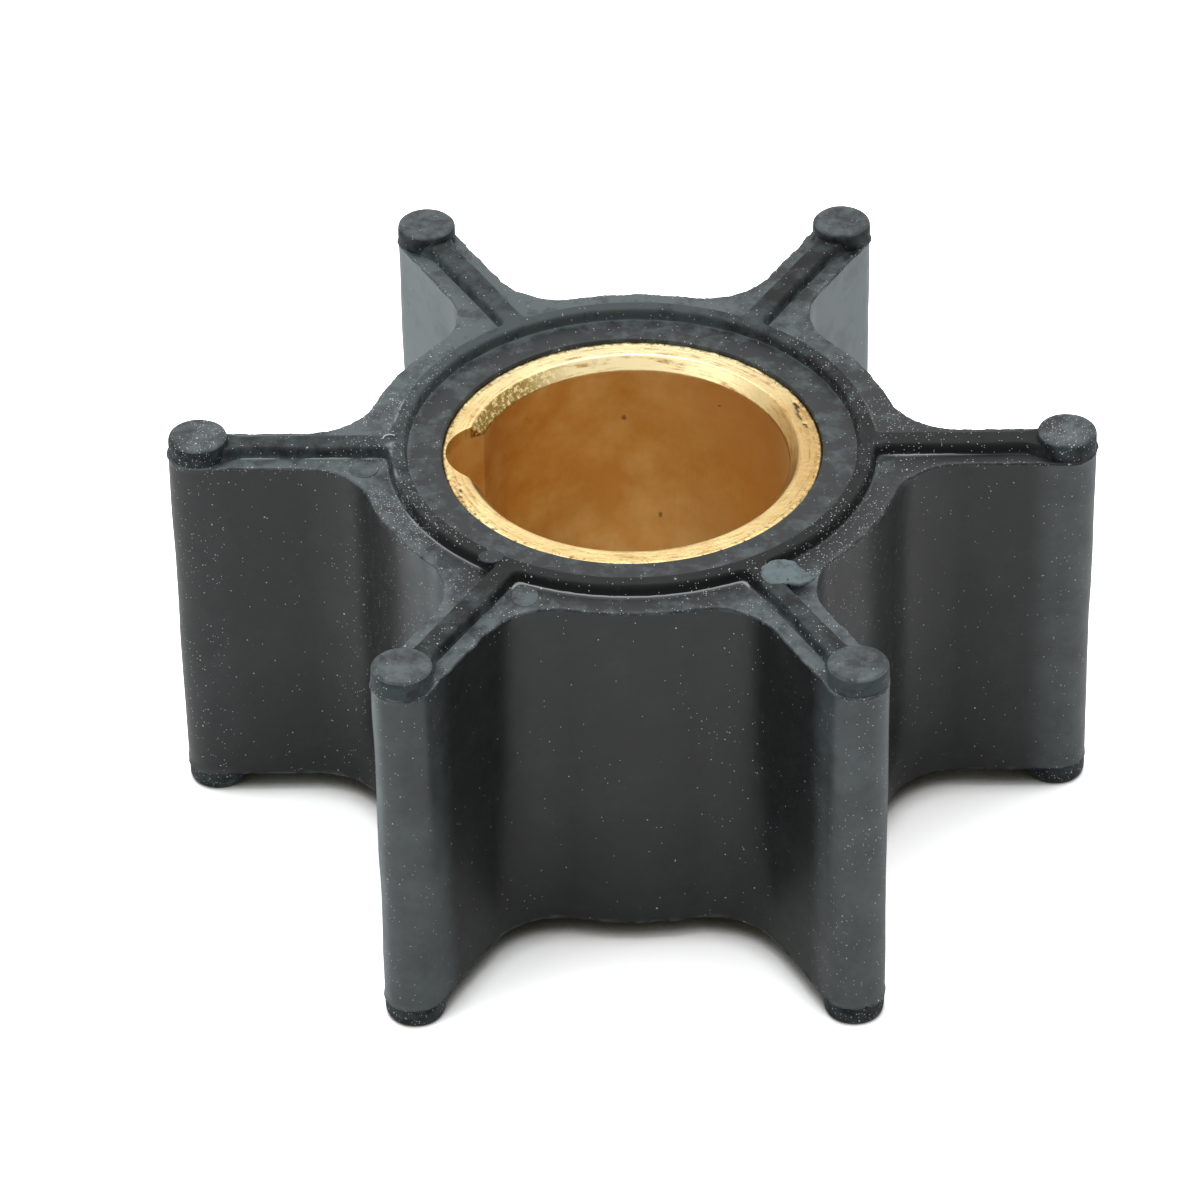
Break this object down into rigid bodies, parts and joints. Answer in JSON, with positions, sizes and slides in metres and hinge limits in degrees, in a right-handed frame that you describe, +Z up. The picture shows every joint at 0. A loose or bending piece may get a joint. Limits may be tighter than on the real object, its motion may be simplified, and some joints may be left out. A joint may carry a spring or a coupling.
{
  "type": "rubber pump impeller",
  "caption": "Flexible-vane water pump impeller: black rubber hub and straight round-tipped vanes moulded round a brass bush with a half-round keyway.",
  "frame": {"origin": "on the bore axis, in the plane of the six foot discs that the part stands on", "axes": "+Z up along the bore, +X along one vane, and the keyway on the -X side"},
  "size_m": [0.0572, 0.0502, 0.0265],
  "materials": {
    "rubber": "moulded, satin",
    "brass": "turned"
  },
  "bodies": {
    "root": {"rubber_impeller": "rubber", "brass_bush": "brass"}
  },
  "joints": []
}
